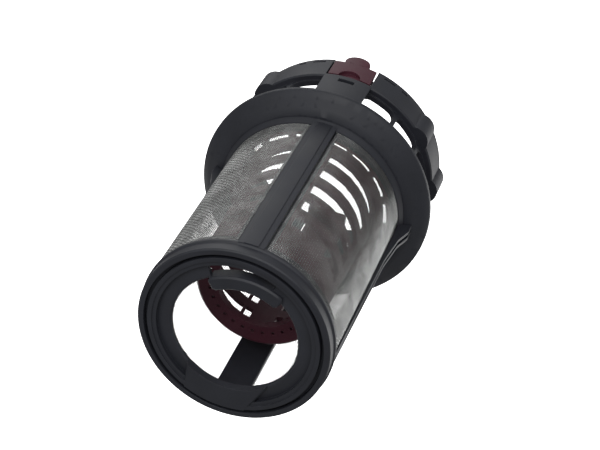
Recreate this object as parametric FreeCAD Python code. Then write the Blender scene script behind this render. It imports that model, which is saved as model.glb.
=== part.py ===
# Cylinder filter for the sump of a dishwasher, in millimetres, +Z up, standing on its bottom ring.
# The origin is the centre of the ring's lowest plane. The front rib and the front tab are at -Y.
# A moulded frame holds two sheets of woven mesh, a lobed grip collar is clipped on its neck,
# and a slotted coarse insert hangs in the collar and lifts out upwards.

import FreeCAD, Part
import math
import os

from FreeCAD import Vector

full_turn = math.degrees(2 * math.pi)
FRONT = -full_turn / 4
BACK = full_turn / 4
RIGHT = 0.0
LEFT = full_turn / 2

# Fits between pieces
seat_gap = 0.1          # flat seat between the collar and the neck, and under the insert's lip
socket_gap = 0.1        # round the neck inside the collar's skirt
bore_gap = 0.4          # round the insert's lip inside the grip
tab_gap = 0.6           # each side of a tab in its notch
tab_floor_gap = 0.8     # under a tab in its notch
neck_gap = 0.5          # round the insert inside the frame's neck
cut_past = 2.0          # cutters start and end this far past what they cut

# Bottom ring
ring_r = 34.0
ring_h = 6.2
rim_w = 2.2
groove_w = 1.3
groove_d = 2.6
ridge_w = 3.1
ridge_step = 0.4
ridge_lift = 0.5        # the ridge stays this far above the rim's plane
flange_w = 5.1          # dished flange between the ridge and the hole
flange_lift = 1.3       # its lift at the edge of the hole
flange_dish = 0.7       # and its extra rise at the ridge
flange_t = 1.9
bead_h = 1.6
bead_out = 0.6

# Woven mesh, two half round sheets
mesh_t = 0.5
mesh_out = 0.2          # the mesh stands this far outside the ring's wall
mesh_columns = 10
mesh_rows = 6
mesh_wire_w = 3.0
mesh_ridge_w = 1.2      # upright wires stand proud between the columns of gaps
mesh_ridge_out = 0.15
backing_t = 1.4         # frame wall behind the edge of the mesh
backing_lap = 2.8       # how far that wall laps behind the mesh

# Neck and ribs of the frame
tube_h = 88.6           # top edge of the mesh
neck_edge = 0.2         # its lower edge stands this far out of the mesh
neck_flare = 1.6
neck_flare_h = 2.2
neck_step = 0.8         # from the flare's edge in to the socket of the collar
neck_h = 4.6
rib_half = 7.6          # half angle of a rib outside the mesh, degrees
rib_back_half = 10.5    # and of its wider backing inside
rib_out = 0.7           # outside the mesh
land_half = 4.2
land_out = 0.3

# Twin fins on the left and right, with a gusset under the collar
fin_t = 1.3
fin_pitch = 2.9
fin_foot_out = 0.3      # the fins stand this far out of the mesh at the ring
fin_knee_out = 1.2      # at the knee, where they start to widen
fin_top_out = 2.6       # and at the foot of the gusset
fin_ramp_h = 14.0       # from the knee to the gusset
fin_web_t = 0.4
gusset_h = 7.0
gusset_drop = 1.2
gusset_out = 4.7

# Bayonet lugs at the hole
cam_centre = (2.0, 1.0)     # the front lug is an arc about this point, so it tightens as it is turned
cam_in = 2.6
cam_out = 2.5
cam_h = 5.0
cam_mid = -91.2
cam_half = 33.0
cam_slot_half = 27.0
cam_slot_in = 0.5       # the slot starts this far inside the hole's edge
lug_half_w = 14.3
lug_short = 0.5         # from the rim
lug_corner_w = 6.5
lug_corner_h = 13.0
lug_edge = 0.6

# Collar and grip
collar_w = 8.1
collar_t = 1.9
collar_rise = 4.6       # the underside climbs this much from the skirt to the lip
skirt_t = 1.4
ledge_in = 2.1          # the seat of the insert's lip reaches this far inside the skirt
ledge_t = 2.0
collar_top_rise = 1.1
grip_bore_out = 0.9     # the grip's bore is this much wider than the neck's socket
grip_wall_t = 2.1
grip_wall_h = 17.8
band_out = 2.3          # the band stands this far out of the wall
band_h = 14.9
rim_round = 2.2
bore_round = 0.8
edge_break = 0.5        # flat on the edges of the mouldings
round_from = 1.5        # a corner of this size or more is rounded in several flats
flat_count = 3

window_pitch = 22.5
window_bar_w = 0.8465   # bar between two windows, at the bore
window_sill = 0.2
window_head = 0.6
window_corner = 3.0

lobe_r = 5.8
lobe_out = 2.2
lobe_at = (-38.2, -4.4, 38.4)   # degrees, the other side has the same ones half a turn on
lobe_top = 1.6

tick_depth = 0.8
tick_h = 0.9
tick_drop = 4.2
tick_spans = ((17.0, 24.0), (28.5, 32.5))
panel_half = 13.2       # plain panel under a tab, flush with the band, between two windows
catch_half = 4.4        # shallow catch in that panel
catch_h = 2.2
catch_drop = 1.1        # below the band's lower edge
catch_depth = 1.4

# Coarse insert
cup_h = 59.0            # from the foot to the step
insert_t = 1.5
cup_taper = 1.5
foot_w = 7.9            # from the foot's edge to the open mouth
mouth_lip_t = 1.3
mouth_lip_h = 1.8
step_w = 6.8            # from the cup to the drum that hangs in the neck
step_drop = 0.6         # below the top edge of the mesh
step_blend = 1.2
lip_t = 1.4
drain_hole_w = 1.2
drain_in = 2.8
drain_count = 30

slot_foot = 9.9
slot_head = 0.5
slot_rows = 5
slot_h = 6.4
top_slot_h = 4.8
post_half = 11.5
back_post_at = 19.5
back_post_half = 1.6

sieve_count = 16
sieve_in = 3.3
sieve_w = 1.5
sieve_half = 8.6

arm_half = 9.0
arm_t = 1.8
tab_half = 11.8
tab_lift = 2.0          # above the band's lower edge
tab_top_drop = 1.6      # below the rim of the grip
tab_edge = 0.8
thumb_r = 4.9
thumb_t = 1.9
thumb_lift = 1.0        # centre of the thumb piece above the tab's top edge
thumb_edge_w = 1.8      # sloping border of the thumb piece
thumb_edge_t = 0.5
arch_r = 4.2            # half round recess at the lower edge of a tab
arch_depth = 1.4
finger_w = 8.0          # finger ledge across the top of a tab, inside the grip
finger_half_w = 7.8
finger_t = 1.8

# Sizes that follow from the ones above
groove_out_r = ring_r - rim_w
groove_in_r = groove_out_r - groove_w
ridge_in_r = groove_in_r - ridge_w
hole_r = ridge_in_r - flange_w
cam_in_r = hole_r - cam_in
cam_out_r = hole_r + cam_out
lug_out_r = groove_out_r - lug_short

mesh_r = ring_r + mesh_out
backing_r = mesh_r - mesh_t
backing_in = backing_r - backing_t
neck_r = mesh_r + neck_flare - neck_step
neck_seat_z = tube_h + neck_flare_h
neck_top_z = neck_seat_z + neck_h
gusset_high = tube_h - gusset_drop
gusset_low = gusset_high - gusset_h

skirt_in = neck_r + socket_gap
skirt_out = skirt_in + skirt_t
skirt_z = neck_seat_z + seat_gap
ledge_z = neck_top_z + seat_gap
ledge_r = skirt_in - ledge_in
seat_z = ledge_z + ledge_t
collar_r = skirt_out + collar_w
lip_z = skirt_z + collar_rise
grip_bore_r = skirt_in + grip_bore_out
grip_wall_r = grip_bore_r + grip_wall_t
band_r = grip_wall_r + band_out
window_w = 2 * grip_bore_r * math.sin(math.radians(window_pitch / 2)) - window_bar_w
wall_z = seat_z + collar_top_rise
band_z = wall_z + grip_wall_h
rim_z = band_z + band_h

drum_r = backing_in - neck_gap
insert_top_r = drum_r - step_w
insert_foot_r = insert_top_r - cup_taper
mouth_r = insert_foot_r - foot_w
step_z = tube_h - step_drop
insert_z = step_z - cup_h
insert_lip_z = seat_z + seat_gap
insert_lip_r = grip_bore_r - bore_gap
slot_low = insert_z + slot_foot
slot_pitch = (step_z - slot_head - top_slot_h - slot_low) / (slot_rows - 1)

tab_low = band_z + tab_lift
tab_top = rim_z - tab_top_drop
notch_low = tab_low - tab_floor_gap
notch_half = tab_half + math.degrees(tab_gap / grip_bore_r)


def turned(shape, angle):
    copy = shape.copy()
    copy.rotate(Vector(0, 0, 0), Vector(0, 0, 1), angle)
    return copy


def broken(points):
    """Closed outline of (a, b) or (a, b, size) corners; a sized corner is broken by one flat or rounded."""
    full = [p if len(p) == 3 else (p[0], p[1], 0) for p in points]
    outline = []
    for i, (a, b, size) in enumerate(full):
        here = Vector(a, b, 0)
        if size == 0:
            outline.append(here)
            continue
        last = full[i - 1]
        following = full[(i + 1) % len(full)]
        before = (Vector(last[0], last[1], 0) - here).normalize()
        after = (Vector(following[0], following[1], 0) - here).normalize()
        half = before.getAngle(after) / 2
        centre = here + (before + after).normalize() * (size / math.sin(half))
        start = here + before * (size / math.tan(half)) - centre
        stop = here + after * (size / math.tan(half)) - centre
        turn = start.getAngle(stop)
        flats = flat_count if size >= round_from else 1
        for k in range(flats + 1):
            share = k / flats
            spoke = start * math.sin((1 - share) * turn) + stop * math.sin(share * turn)
            outline.append(centre + spoke * (1 / math.sin(turn)))
    return outline + outline[:1]


def spun(points):
    """Solid of revolution from (radius, height) corners, each with an optional break."""
    wire = Part.makePolygon([Vector(v.x, 0, v.y) for v in broken(points)])
    return Part.Face(wire).revolve(Vector(0, 0, 0), Vector(0, 0, 1), full_turn)


def upright_plate(points, thickness, offset):
    """Flat plate in the XZ plane from (x, z) corners, its middle at y = offset."""
    wire = Part.makePolygon([Vector(v.x, offset - thickness / 2, v.y) for v in broken(points)])
    return Part.Face(wire).extrude(Vector(0, thickness, 0))


def sector(r_in, r_out, z_low, z_high, middle, half):
    """Piece of a tube wall, centred on an angle in degrees."""
    outer = Part.makeCylinder(r_out, z_high - z_low, Vector(0, 0, z_low), Vector(0, 0, 1), 2 * half)
    core = Part.makeCylinder(r_in, z_high - z_low, Vector(0, 0, z_low))
    return turned(outer.cut(core), middle - half)


def edges_where(shape, test):
    return [e for e in shape.Edges if test(e)]


def is_arc(edge, radius):
    return edge.Curve.TypeId == "Part::GeomCircle" and abs(edge.Curve.Radius - radius) < 1e-6


def bottom_ring():
    """Rim, groove, stepped ridge and dished flange, with a bead and a backing wall for the mesh."""
    ridge_mid = (groove_in_r + ridge_in_r) / 2
    ceiling = groove_d + backing_t
    bead_low = ring_h - bead_h
    return spun([
        (hole_r, flange_lift, edge_break),
        (ridge_in_r, flange_lift + flange_dish),
        (ridge_in_r, ridge_lift),
        (ridge_mid, ridge_lift),
        (ridge_mid, ridge_lift - ridge_step),
        (groove_in_r, ridge_lift - ridge_step),
        (groove_in_r, groove_d),
        (groove_out_r, groove_d),
        (groove_out_r, 0),
        (ring_r, 0, edge_break),
        (ring_r, bead_low - bead_out),
        (ring_r + bead_out, bead_low),
        (ring_r + bead_out, ring_h - bead_out),
        (ring_r + mesh_out, ring_h),
        (backing_r, ring_h),
        (backing_r, ring_h + backing_lap),
        (backing_in, ring_h + backing_lap),
        (backing_in, ceiling),
        (ridge_in_r, ceiling),
        (ridge_in_r - flange_t, flange_lift + flange_t),
        (hole_r, flange_lift + flange_t),
    ])


def neck():
    """Hoop over the top edge of the mesh, flared to the seat of the collar."""
    return spun([
        (backing_in, tube_h - backing_lap),
        (backing_r, tube_h - backing_lap),
        (backing_r, tube_h),
        (mesh_r + neck_edge, tube_h),
        (mesh_r + neck_flare, neck_seat_z),
        (neck_r, neck_seat_z),
        (neck_r, neck_top_z),
        (backing_in, neck_top_z),
    ])


def rib(middle):
    """Upright bar outside the mesh on a wider backing, with a raised land along it."""
    low = ring_h - bead_h
    high = neck_seat_z - neck_flare_h / 2
    backing = sector(backing_in, backing_r, low, neck_seat_z, middle, rib_back_half)
    bar = sector(backing_r, mesh_r + rib_out, low, high, middle, rib_half)
    land = sector(backing_r, mesh_r + rib_out + land_out, low, high, middle, land_half)
    return backing.fuse([bar, land])


def side_fins(middle):
    """Two thin fins with a web between them, each widening to a gusset under the collar."""
    wide_r = mesh_r + gusset_out
    slope = collar_rise / collar_w
    under = skirt_z - 2 * seat_gap
    outline = [
        (mesh_r, ring_h - bead_h),
        (mesh_r + fin_foot_out, ring_h - bead_h, edge_break),
        (mesh_r + fin_knee_out, gusset_low - fin_ramp_h),
        (mesh_r + fin_top_out, gusset_low),
        (wide_r, gusset_high, 1.5),
        (wide_r, under + slope * (wide_r - skirt_out)),
        (skirt_out, under),
        (mesh_r, under),
    ]
    first = upright_plate(outline, fin_t, fin_pitch / 2)
    second = upright_plate(outline, fin_t, -fin_pitch / 2)
    web = Part.makeBox(fin_web_t, fin_pitch, tube_h - ring_h, Vector(mesh_r, -fin_pitch / 2, ring_h))
    return turned(first.fuse([second, web]), middle)


def cam_lug():
    """Arc shaped lug that bridges the slot in the flange and reaches into the hole."""
    block = sector(cam_in_r, cam_out_r, 0, cam_h, cam_mid, cam_half)
    corners = edges_where(block, lambda e: abs(e.Length - cam_h) < 1e-6)
    block = block.makeChamfer(2 * edge_break, corners)
    arris = edges_where(block, lambda e: e.BoundBox.ZMax < 1e-6)
    block = block.makeChamfer(lug_edge, arris)
    block.translate(Vector(cam_centre[0], cam_centre[1], 0))
    return block


def flat_lug():
    """Flat lug across the ridge at the back, with one slanted end."""
    x = lug_half_w
    wire = Part.makePolygon([
        Vector(-x, 0, 0), Vector(x, 0, 0), Vector(x, lug_out_r - lug_corner_h, 0),
        Vector(x - lug_corner_w, lug_out_r, 0), Vector(-x, lug_out_r, 0), Vector(-x, 0, 0)])
    block = Part.Face(wire).extrude(Vector(0, 0, flange_lift + flange_t))
    block = block.common(Part.makeCylinder(lug_out_r, flange_lift + flange_t))
    block = block.cut(Part.makeCylinder(hole_r, flange_lift + flange_t))
    arris = edges_where(block, lambda e: e.BoundBox.ZMax < 1e-6 and not is_arc(e, hole_r))
    return block.makeChamfer(lug_edge, arris)


def mesh_frame():
    slot = sector(hole_r - cam_slot_in, ridge_in_r, 0.0, ring_h, cam_mid, cam_slot_half)
    pieces = [neck(), rib(FRONT), rib(BACK), side_fins(RIGHT), side_fins(LEFT), cam_lug(), flat_lug()]
    return bottom_ring().cut(slot).fuse(pieces).removeSplitter()


def mesh_half(first_rib, second_rib):
    """Half round sheet between two ribs, a grid of gaps with upright ridges in place of fine wires."""
    middle = (first_rib + second_rib) / 2
    span = (second_rib - first_rib) / 2 - rib_half
    step = 2 * span / mesh_columns
    rise = (tube_h - ring_h) / mesh_rows
    gap_half = step / 2 - math.degrees(mesh_wire_w / 2 / mesh_r)
    ridge_half = math.degrees(mesh_ridge_w / 2 / mesh_r)
    wall = sector(backing_r, mesh_r, ring_h, tube_h, 0.0, span)
    ridges = []
    for i in range(1, mesh_columns):
        if 2 * i != mesh_columns:
            at = i * step - span
            ridges.append(sector(backing_r, mesh_r + mesh_ridge_out, ring_h, tube_h, at, ridge_half))
    gaps = []
    for column in range(mesh_columns):
        at = -span + (column + 0.5) * step
        for row in range(mesh_rows):
            z = ring_h + row * rise + mesh_wire_w / 2
            top = z + rise - mesh_wire_w
            gaps.append(sector(backing_r - cut_past, mesh_r + cut_past, z, top, at, gap_half))
    return turned(wall.fuse(ridges).cut(Part.makeCompound(gaps)).removeSplitter(), middle)


def collar_body():
    """Conical collar, skirt round the neck, seat for the insert, wall and thicker band above."""
    return spun([
        (skirt_in, skirt_z),
        (skirt_out, skirt_z),
        (collar_r, lip_z, edge_break),
        (collar_r, lip_z + collar_t, edge_break),
        (grip_wall_r + collar_top_rise, seat_z + collar_top_rise / 2),
        (grip_wall_r, wall_z),
        (grip_wall_r, band_z),
        (band_r, band_z, edge_break),
        (band_r, rim_z, rim_round),
        (grip_bore_r, rim_z, bore_round),
        (grip_bore_r, seat_z),
        (ledge_r, seat_z),
        (ledge_r, ledge_z),
        (skirt_in, ledge_z),
    ])


def window_cutter(middle):
    """Window with rounded upper corners, cut straight through the grip's wall."""
    reach = band_r - grip_bore_r + 2 * cut_past
    low = wall_z + window_sill
    high = band_z - window_head
    box = Part.makeBox(reach, window_w, high - low, Vector(grip_bore_r - cut_past, -window_w / 2, low))
    corners = edges_where(box, lambda e: abs(e.Length - reach) < 1e-6 and e.CenterOfMass.z > high - 1e-3)
    return turned(box.makeFillet(window_corner, corners), middle)


def lobe(middle):
    """Rounded finger grip on the band, chamfered at the top."""
    centre = Vector(band_r + lobe_out - lobe_r, 0, band_z)
    shank_h = band_h - rim_round - lobe_top
    shank = Part.makeCylinder(lobe_r, shank_h, centre)
    crown = Part.makeCone(lobe_r, lobe_r - lobe_top, lobe_top, centre + Vector(0, 0, shank_h))
    return turned(shank.fuse(crown), middle)


def grip_collar():
    body = collar_body()
    pieces = [lobe(side + angle) for side in (RIGHT, LEFT) for angle in lobe_at]
    for side in (FRONT, BACK):
        pieces.append(sector(grip_bore_r, band_r, wall_z, band_z + edge_break, side, panel_half))
    body = body.fuse(pieces)
    bore = Part.makeCylinder(grip_bore_r, rim_z - seat_z, Vector(0, 0, seat_z))
    cutters = [bore]
    windows = int(round(full_turn / window_pitch))
    for i in range(windows):
        if i % (windows // 2) != 0:
            cutters.append(window_cutter(FRONT + i * window_pitch))
    for side in (FRONT, BACK):
        cutters.append(sector(grip_bore_r - cut_past, band_r + cut_past, notch_low, rim_z + cut_past,
                              side, notch_half))
        catch_z = band_z - catch_drop
        cutters.append(sector(band_r - catch_depth, band_r + cut_past, catch_z - catch_h, catch_z,
                              side, catch_half))
        for low, high in tick_spans:
            for hand in (-1, 1):
                at = side + hand * (low + high) / 2
                top = rim_z - tick_drop + tick_h
                cutters.append(sector(band_r - tick_depth, band_r + cut_past, top - tick_h, top,
                                      at, (high - low) / 2))
    return body.cut(cutters).removeSplitter()


def insert_shell():
    """Tapered cup with an open mouth below, a step under the neck and a lip on the collar's seat."""
    wall = insert_t
    return spun([
        (mouth_r, insert_z),
        (insert_foot_r, insert_z, 2 * edge_break),
        (insert_top_r, step_z - step_blend),
        (insert_top_r + step_blend, step_z),
        (drum_r, step_z, 2 * edge_break),
        (drum_r, insert_lip_z),
        (insert_lip_r, insert_lip_z),
        (insert_lip_r, insert_lip_z + lip_t),
        (drum_r - wall, insert_lip_z + lip_t),
        (drum_r - wall, step_z + wall),
        (insert_top_r + step_blend - wall, step_z + wall),
        (insert_top_r - wall, step_z + wall - step_blend),
        (insert_foot_r - wall, insert_z + wall),
        (mouth_r + mouth_lip_t, insert_z + wall),
        (mouth_r + mouth_lip_t, insert_z + wall + mouth_lip_h),
        (mouth_r, insert_z + wall + mouth_lip_h),
    ])


def wall_slot(low, high, near, far, hand):
    """Level slot through the cup's wall, from one angle to another, both counted from the back."""
    return sector(insert_foot_r - 2 * insert_t, insert_top_r + insert_t, low, high,
                  BACK + hand * (near + far) / 2, (far - near) / 2)


def insert_slots():
    """Rows of level slots; the rear ones are split by a thin post near the rear bar."""
    side = BACK - RIGHT
    cutters = []
    for row in range(slot_rows):
        low = slot_low + row * slot_pitch
        high = low + (top_slot_h if row == slot_rows - 1 else slot_h)
        for hand in (-1, 1):
            cutters.append(wall_slot(low, high, post_half, back_post_at - back_post_half, hand))
            cutters.append(wall_slot(low, high, back_post_at + back_post_half, side - post_half, hand))
            cutters.append(wall_slot(low, high, side + post_half, 2 * side - post_half, hand))
    return cutters


def sieve_cutters():
    """Ring of short slots through the step, and a ring of small drain holes through the foot."""
    pitch = full_turn / sieve_count
    cutters = []
    sieve_in_r = insert_top_r + sieve_in
    for i in range(sieve_count):
        cutters.append(sector(sieve_in_r, sieve_in_r + sieve_w,
                              step_z - cut_past, step_z + insert_t + cut_past,
                              FRONT + (i + 0.5) * pitch, sieve_half))
    drain_ring_r = mouth_r + drain_in
    drain_half = math.degrees(drain_hole_w / 2 / drain_ring_r)
    for i in range(drain_count):
        cutters.append(sector(drain_ring_r - drain_hole_w / 2, drain_ring_r + drain_hole_w / 2,
                              insert_z - cut_past, insert_z + insert_t + cut_past,
                              FRONT + i * full_turn / drain_count, drain_half))
    return cutters


def lock_tab(middle):
    """Arm up the grip's bore, a tab with a half round thumb piece and an arch, and a finger ledge."""
    arm = sector(insert_lip_r - arm_t, insert_lip_r, insert_lip_z, tab_top, 0.0, arm_half)
    head = sector(insert_lip_r - arm_t, band_r, tab_low, tab_top, 0.0, tab_half)
    top_front = edges_where(head, lambda e: abs(e.CenterOfMass.z - tab_top) < 1e-6
                            and e.Curve.TypeId == "Part::GeomCircle" and e.Curve.Radius > band_r - 0.1)
    head = head.makeChamfer(tab_edge, top_front)
    thumb_z = tab_top + thumb_lift
    thumb_back = Vector(band_r - thumb_t, 0, thumb_z)
    thumb_front = Vector(band_r - thumb_edge_t, 0, thumb_z)
    thumb = Part.makeCylinder(thumb_r, thumb_t - thumb_edge_t, thumb_back, Vector(1, 0, 0))
    border = Part.makeCone(thumb_r, thumb_r - thumb_edge_w, thumb_edge_t, thumb_front, Vector(1, 0, 0))
    thumb = thumb.fuse(border)
    above = Part.makeBox(band_r, 4 * thumb_r, 2 * thumb_r, Vector(0, -2 * thumb_r, tab_top - tab_edge))
    finger_in = insert_lip_r - finger_w
    finger = Part.makeBox(finger_w - arm_t / 2, 2 * finger_half_w, finger_t,
                          Vector(finger_in, -finger_half_w, tab_top - finger_t))
    tips = edges_where(finger, lambda e: abs(e.Length - finger_t) < 1e-6
                       and e.CenterOfMass.x < finger_in + 1e-6)
    finger = finger.makeChamfer(edge_break, tips)
    arch = Part.makeCylinder(arch_r, 2 * arch_depth, Vector(band_r - arch_depth, 0, tab_low), Vector(1, 0, 0))
    return turned(arm.fuse([head, thumb.common(above), finger]).cut(arch), middle)


def coarse_insert():
    body = insert_shell().cut(insert_slots() + sieve_cutters())
    return body.fuse([lock_tab(FRONT), lock_tab(BACK)]).removeSplitter()


def save(name, shape):
    shape.exportStep("parts/" + name + ".step")
    print(name, "solids", len(shape.Solids), "valid", shape.isValid(), "volume", round(shape.Volume, 1))


os.makedirs("parts", exist_ok=True)
save("mesh_frame", mesh_frame())
save("mesh_right", mesh_half(FRONT, BACK))
save("mesh_left", mesh_half(BACK, FRONT + full_turn))
save("grip_collar", grip_collar())
save("coarse_insert", coarse_insert())
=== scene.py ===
import bpy
import bmesh
import numpy as np
from mathutils import Matrix, Vector


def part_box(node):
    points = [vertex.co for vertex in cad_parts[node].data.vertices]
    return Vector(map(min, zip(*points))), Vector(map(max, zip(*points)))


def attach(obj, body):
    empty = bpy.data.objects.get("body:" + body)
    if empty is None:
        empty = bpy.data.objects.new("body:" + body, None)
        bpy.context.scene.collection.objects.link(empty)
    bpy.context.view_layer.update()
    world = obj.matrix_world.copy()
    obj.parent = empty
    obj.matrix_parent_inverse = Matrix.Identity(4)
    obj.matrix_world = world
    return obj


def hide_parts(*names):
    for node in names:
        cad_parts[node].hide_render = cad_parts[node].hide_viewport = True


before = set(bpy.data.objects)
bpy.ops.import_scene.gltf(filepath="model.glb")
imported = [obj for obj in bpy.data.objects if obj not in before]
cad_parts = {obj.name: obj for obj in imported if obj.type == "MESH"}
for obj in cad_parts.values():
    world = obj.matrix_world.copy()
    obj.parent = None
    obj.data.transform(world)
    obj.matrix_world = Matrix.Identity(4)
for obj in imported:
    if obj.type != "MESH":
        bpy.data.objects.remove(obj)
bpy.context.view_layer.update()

# Dishwasher filter: moulded frame with woven mesh, lobed grip collar, coarse insert with two lock tabs.
# Metres, Z up, standing on its bottom ring; the front rib and the front tab are at -Y.

mm = 0.001  # in metres
print("frame: loaded", len(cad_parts), "nodes")


def linearColour(text):  # sRGB hex to linear: the standard curve, linear near black and a 2.4 power above
    parts = [int(text[i:i + 2], 16) / 255 for i in (1, 3, 5)]
    return [c / 12.92 if c <= 0.04045 else ((c + 0.055) / 1.055) ** 2.4 for c in parts] + [1.0]


# A node with its settings. An input's name has _ for a space, or is _ and its number, and its value is a
# plain one or a (node, output) pair to link.
def addNode(tree, kind, settings=None, **inputs):
    node = tree.nodes.new(kind)
    for key, value in (settings or {}).items():
        setattr(node, key, value)
    for key, value in inputs.items():
        socket = node.inputs[int(key[1:])] if key[0] == "_" else node.inputs[key.replace("_", " ")]
        if isinstance(value, tuple) and isinstance(value[0], bpy.types.Node):
            tree.links.new(value[0].outputs[value[1]], socket)
        else:
            socket.default_value = value
    return node


def blankMaterial(name):  # a material with nothing in its tree but the output
    material = bpy.data.materials.new(name)
    material.use_nodes = True
    material.node_tree.nodes.clear()
    return material, material.node_tree, addNode(material.node_tree, "ShaderNodeOutputMaterial")


def finishPiece(obj, material, body):  # what every new piece gets at its end
    obj.data.materials.clear()
    obj.data.materials.append(material)
    bpy.context.scene.collection.objects.link(obj)
    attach(obj, body)


# A mesh object at the origin, from an array of points, an array of quads and a list of end caps.
def meshPiece(name, points, quads, caps=()):
    data = bpy.data.meshes.new(name)
    data.from_pydata(points.reshape(-1, 3).tolist(), [], quads.reshape(-1, 4).tolist() + list(caps))
    data.shade_smooth()
    data.update()
    return bpy.data.objects.new(name, data)


# Materials

plasticLook = {
    "slate": "#21232A", "slateWorn": "#282A32", "burgundy": "#431826", "burgundyWorn": "#4D1E2D",
    "patch": 14 * mm, "patchDetail": 3.0,
    "shadeFrom": 0.35, "shadeTo": 0.7,  # the range of the patches' noise that becomes shade
    "sheenFrom": 0.3, "sheenTo": 0.7,  # and the range of it that becomes sheen
    "grain": 0.5 * mm, "grainDetail": 2.0, "grainHeight": 0.02 * mm, "grainStrength": 0.6,
    "roughness": 0.55, "smoother": 0.05, "duller": 0.06, "ior": 1.49,
    "softEdge": 0.3 * mm, "softSamples": 6,
}


# Polypropylene from a fine spark-eroded tool: a matt skin that spreads each highlight wide, with faint
# cloudy patches in its shade and sheen, and edges that are a little rounded and so catch a thin line of
# light.
def mouldedPolypropylene(name, base, worn, look):
    material, tree, out = blankMaterial(name)
    place = addNode(tree, "ShaderNodeTexCoord")
    patches = addNode(tree, "ShaderNodeTexNoise", Vector=(place, "Object"), Scale=1 / look["patch"],
                      Detail=look["patchDetail"])
    blend = addNode(tree, "ShaderNodeMapRange", Value=(patches, "Fac"), _1=look["shadeFrom"],
                    _2=look["shadeTo"])
    colour = addNode(tree, "ShaderNodeMix", {"data_type": "RGBA"}, Factor=(blend, "Result"),
                     _6=linearColour(base), _7=linearColour(worn))
    grain = addNode(tree, "ShaderNodeTexNoise", Vector=(place, "Object"), Scale=1 / look["grain"],
                    Detail=look["grainDetail"])
    soft = addNode(tree, "ShaderNodeBevel", {"samples": look["softSamples"]}, Radius=look["softEdge"])
    bump = addNode(tree, "ShaderNodeBump", Height=(grain, "Fac"), Distance=look["grainHeight"],
                   Strength=look["grainStrength"], Normal=(soft, "Normal"))
    rough = addNode(tree, "ShaderNodeMapRange", Value=(patches, "Fac"),
                    _1=look["sheenFrom"], _2=look["sheenTo"],
                    _3=look["roughness"] - look["smoother"], _4=look["roughness"] + look["duller"])
    shader = addNode(tree, "ShaderNodeBsdfPrincipled", Base_Color=(colour, "Result"),
                     Normal=(bump, "Normal"), Roughness=(rough, "Result"), IOR=look["ior"])
    tree.links.new(shader.outputs["BSDF"], out.inputs["Surface"])
    return material


slatePlastic = mouldedPolypropylene("moulded polypropylene, slate", plasticLook["slate"],
                                    plasticLook["slateWorn"], plasticLook)
redPlastic = mouldedPolypropylene("moulded polypropylene, burgundy", plasticLook["burgundy"],
                                  plasticLook["burgundyWorn"], plasticLook)

wireLook = {
    "steel": "#C6C7C6", "steelDim": "#ADAEAD",
    "patch": 9 * mm, "patchDetail": 4.0, "patchTwist": 0.6,
    "dimFrom": 0.38, "dimTo": 0.62,  # the range of the patches' noise that becomes shade
    "spot": 3 * mm, "spotDetail": 2.0, "roughness": 0.22, "roughSpread": 0.1,
}


# Drawn stainless wire in plain weave: bright metal whose small glints on each wire blend to a soft grey
# sheen from a step away, in faint patches where the cloth is not quite even.
def wovenStainlessWire(look):
    material, tree, out = blankMaterial("woven stainless wire")
    place = addNode(tree, "ShaderNodeTexCoord")
    spots = addNode(tree, "ShaderNodeTexNoise", Vector=(place, "Object"), Scale=1 / look["spot"],
                    Detail=look["spotDetail"])
    rough = addNode(tree, "ShaderNodeMapRange", Value=(spots, "Fac"),
                    _3=look["roughness"] - look["roughSpread"], _4=look["roughness"] + look["roughSpread"])
    patches = addNode(tree, "ShaderNodeTexNoise", Vector=(place, "Object"), Scale=1 / look["patch"],
                      Detail=look["patchDetail"], Distortion=look["patchTwist"])
    share = addNode(tree, "ShaderNodeMapRange", Value=(patches, "Fac"),
                    _1=look["dimFrom"], _2=look["dimTo"])
    colour = addNode(tree, "ShaderNodeMix", {"data_type": "RGBA"}, Factor=(share, "Result"),
                     _6=linearColour(look["steelDim"]), _7=linearColour(look["steel"]))
    shader = addNode(tree, "ShaderNodeBsdfPrincipled", Base_Color=(colour, "Result"), Metallic=1.0,
                     Roughness=(rough, "Result"))
    tree.links.new(shader.outputs["BSDF"], out.inputs["Surface"])
    return material


steelWire = wovenStainlessWire(wireLook)
print("materials: ready")


# Plastic pieces, as smooth copies of their solids

skinLook = {
    "merge": 0.002 * mm, "sameRadius": 0.003 * mm,
    "nearAxis": 5 * mm,  # what is nearer than this to the axis isn't rounded
    "narrowest": 0.01,  # radians
    "widest": 7.0, "sharp": 36.0,  # degrees
    "cuts": 2,
}


# Circles about the Z axis come as chords. Each edge whose two ends have one radius, and that spans a small
# angle, is cut in equal parts, and every new point is then pushed straight out from the axis to that radius.
def roundArcs(work, look):
    radius = work.verts.layers.float.new("radius")
    for vert in work.verts:
        vert[radius] = vert.co.xy.length
    chords = []
    for edge in work.edges:
        a, b = edge.verts
        if abs(a[radius] - b[radius]) > look["sameRadius"] or a[radius] < look["nearAxis"]:
            continue
        span = a.co.xy.angle(b.co.xy)
        if look["narrowest"] < span < np.radians(look["widest"]):
            chords.append(edge)
    bmesh.ops.subdivide_edges(work, edges=chords, cuts=look["cuts"], use_grid_fill=True)
    bmesh.ops.triangulate(work, faces=work.faces[:], ngon_method="EAR_CLIP")
    for vert in work.verts:
        if vert.co.xy.length > look["nearAxis"]:
            vert.co.xy *= vert[radius] / vert.co.xy.length
    work.verts.layers.float.remove(radius)


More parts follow.
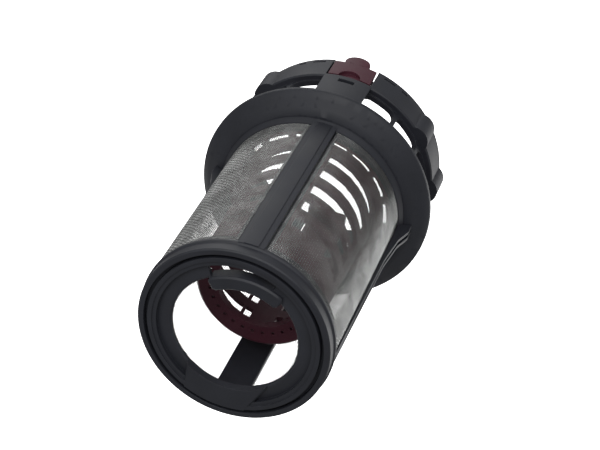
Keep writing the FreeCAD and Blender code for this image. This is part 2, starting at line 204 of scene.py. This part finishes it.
def smoothCopy(node, body, material):  # stands for a solid, with its round forms smooth
    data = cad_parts[node].data.copy()
    work = bmesh.new()
    work.from_mesh(data)
    bmesh.ops.remove_doubles(work, verts=work.verts, dist=skinLook["merge"])
    roundArcs(work, skinLook)
    work.to_mesh(data)
    work.free()
    if data.has_custom_normals:  # they belong to the faces before the cuts
        data.attributes.remove(data.attributes["custom_normal"])
    data.shade_smooth()
    data.set_sharp_from_angle(angle=np.radians(skinLook["sharp"]))
    piece = bpy.data.objects.new(node + "_skin", data)
    finishPiece(piece, material, body)
    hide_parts(node)
    print("skin:", node, len(data.polygons), "faces")


smoothCopy("mesh_frame", "root", slatePlastic)
smoothCopy("grip_collar", "root", slatePlastic)
smoothCopy("coarse_insert", "insert", redPlastic)

# Woven mesh

# The real cloth is too fine to show in the picture, so its threads are drawn at this coarser pitch.
weave = {
    "pitch": 0.84 * mm, "wireRadius": 0.108 * mm, "wave": 0.09 * mm, "sides": 3,
    "radius": 33.95 * mm,
    "halfSpan": 82.9,  # degrees
    "tuck": 0.5 * mm,  # how far the uprights run into the plastic above and below
}


# Plain weave on a cylinder. At each crossing an upright's middle lies at the mean radius plus or minus the
# wave, alternating both ways, and the hoop's middle has the other sign there. Each corner of a wire's skin
# lies off its middle by the wire's radius, times the cosine of its angle sideways and the sine outwards.
def wovenSheet(node, middle):
    low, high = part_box(node)
    radius = weave["radius"]
    span = np.radians(weave["halfSpan"])
    bottom, top = low[2] - weave["tuck"], high[2] + weave["tuck"]
    uprights = int(round(2 * span * radius / weave["pitch"]))
    hoops = int(round((top - bottom) / weave["pitch"]))
    angle = np.radians(middle) + span * (2 * (np.arange(uprights) + 0.5) / uprights - 1)
    height = np.linspace(bottom, top, hoops)
    a, z = np.meshgrid(angle, height, indexing="ij")
    over = np.where((np.add.outer(np.arange(uprights), np.arange(hoops)) % 2) == 0, 1.0, -1.0)
    turn = np.pi / 2 + 2 * np.pi * np.arange(weave["sides"]) / weave["sides"]
    across, outward = weave["wireRadius"] * np.cos(turn), weave["wireRadius"] * np.sin(turn)

    def sweep(reach, sideways, upward):  # shifts outward, along the circle and up, for each point of a skin
        r = radius + reach
        turned = a[..., None] + sideways / radius
        return np.stack([r * np.cos(turned), r * np.sin(turned), z[..., None] + upward], axis=-1)

    nothing = np.zeros_like(across)
    # A hoop's corners go the other way round than an upright's, so that its faces too point outwards.
    wires = {"uprights": sweep(weave["wave"] * over[..., None] + outward, across, nothing),
             "hoops": sweep(-weave["wave"] * over[..., None] + outward, nothing, -across).swapaxes(0, 1)}
    for name, skin in wires.items():
        count, steps, sides = skin.shape[:3]
        index = np.arange(count * steps * sides).reshape(count, steps, sides)
        here, along = index[:, :-1], index[:, 1:]
        faces = np.stack([here, along, np.roll(along, -1, 2), np.roll(here, -1, 2)], axis=-1)
        caps = np.concatenate([index[:, 0], index[:, -1, ::-1]]).tolist()
        piece = meshPiece(node + "_" + name, skin, faces, caps)
        finishPiece(piece, steelWire, "root")
        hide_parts(node)
        print("weave:", node, count, name, len(piece.data.polygons), "faces")


wovenSheet("mesh_right", 0.0)
wovenSheet("mesh_left", 180.0)

# Stage, light and camera

stage = {
    "air": "#FFFFFF", "backdrop": 2.3, "fill": 0.3,
    "floor": "#F4F3F1", "floorGlow": 0.3, "floorSize": 8.0, "floorDrop": 1 * mm,
}


def studioAir():  # white behind the object, and a weaker even light on it
    world = bpy.data.worlds.new("studio")
    bpy.context.scene.world = world
    world.use_nodes = True
    tree = world.node_tree
    tree.nodes.clear()
    ray = addNode(tree, "ShaderNodeLightPath")
    strength = addNode(tree, "ShaderNodeMapRange", Value=(ray, "Is Camera Ray"), _3=stage["fill"],
                       _4=stage["backdrop"])
    air = addNode(tree, "ShaderNodeBackground", Color=linearColour(stage["air"]),
                  Strength=(strength, "Result"))
    addNode(tree, "ShaderNodeOutputWorld", Surface=(air, "Background"))


bpy.context.scene.view_settings.view_transform = "Standard"  # a plain curve, so that paper white clips
studioAir()


def paperFloor():  # seen from above only, so that the low camera looks through it
    material, tree, out = blankMaterial("studio paper")
    side = addNode(tree, "ShaderNodeNewGeometry")
    paper = addNode(tree, "ShaderNodeBsdfDiffuse", Color=linearColour(stage["floor"]))
    glow = addNode(tree, "ShaderNodeEmission", Strength=stage["floorGlow"])  # keeps the far paper pale
    lit = addNode(tree, "ShaderNodeAddShader", _0=(paper, "BSDF"), _1=(glow, "Emission"))
    clear = addNode(tree, "ShaderNodeBsdfTransparent")
    mix = addNode(tree, "ShaderNodeMixShader", _0=(side, "Backfacing"), _1=(lit, "Shader"),
                  _2=(clear, "BSDF"))
    tree.links.new(mix.outputs["Shader"], out.inputs["Surface"])
    half, low = stage["floorSize"] / 2, -stage["floorDrop"]
    corners = np.array([[-half, -half, low], [half, -half, low], [half, half, low], [-half, half, low]])
    floor = meshPiece("floor", corners, np.arange(4))
    floor.data.materials.append(material)
    bpy.context.scene.collection.objects.link(floor)
    floor.visible_shadow = False
    floor.visible_diffuse = False
    floor.visible_glossy = False


paperFloor()

lamps = {
    "key": {"place": (-0.35, -0.45, 0.55), "size": 0.6, "power": 1.7},
    "rim": {"place": (0.5, 0.2, 0.45), "size": 0.5, "power": 2.0},
    "low": {"place": (-0.25, -0.5, -0.5), "size": 0.6, "power": 1.6},
    "back": {"place": (-0.3, 0.55, 0.4), "size": 0.6, "power": 1.6},
    "side": {"place": (0.1, -0.6, -0.35), "size": 0.4, "power": 1.7},
}
lampAim = (0, 0, 0.07)  # about the middle of the filter


def addLamps():
    for name, lamp in lamps.items():
        data = bpy.data.lights.new(name, "AREA")
        data.size = lamp["size"]
        data.energy = lamp["power"]
        obj = bpy.data.objects.new(name, data)
        bpy.context.scene.collection.objects.link(obj)
        place = Vector(lamp["place"])
        aim = Vector(lampAim) - place
        obj.matrix_world = Matrix.Translation(place) @ aim.to_track_quat("-Z", "Y").to_matrix().to_4x4()


addLamps()

lens = {
    "focal": 105.0, "sensor": 36.0,  # millimetres, as on a camera
    "nearest": 10 * mm, "place": (0.10475, -0.36222, -0.44737),
    "right": (0.94319, -0.15352, 0.29469), "back": (0.16151, -0.56325, -0.81035),  # the camera's own X and Z
}


def addCamera():
    data = bpy.data.cameras.new("camera")
    data.lens = lens["focal"]
    data.sensor_width = lens["sensor"]
    data.clip_start = lens["nearest"]
    camera = bpy.data.objects.new("camera", data)
    bpy.context.scene.collection.objects.link(camera)
    right, back = Vector(lens["right"]), Vector(lens["back"])
    turn = Matrix((right, back.cross(right), back)).transposed().to_4x4()
    camera.matrix_world = Matrix.Translation(Vector(lens["place"])) @ turn
    bpy.context.scene.camera = camera


addCamera()
print("stage: floor, lamps and camera ready")
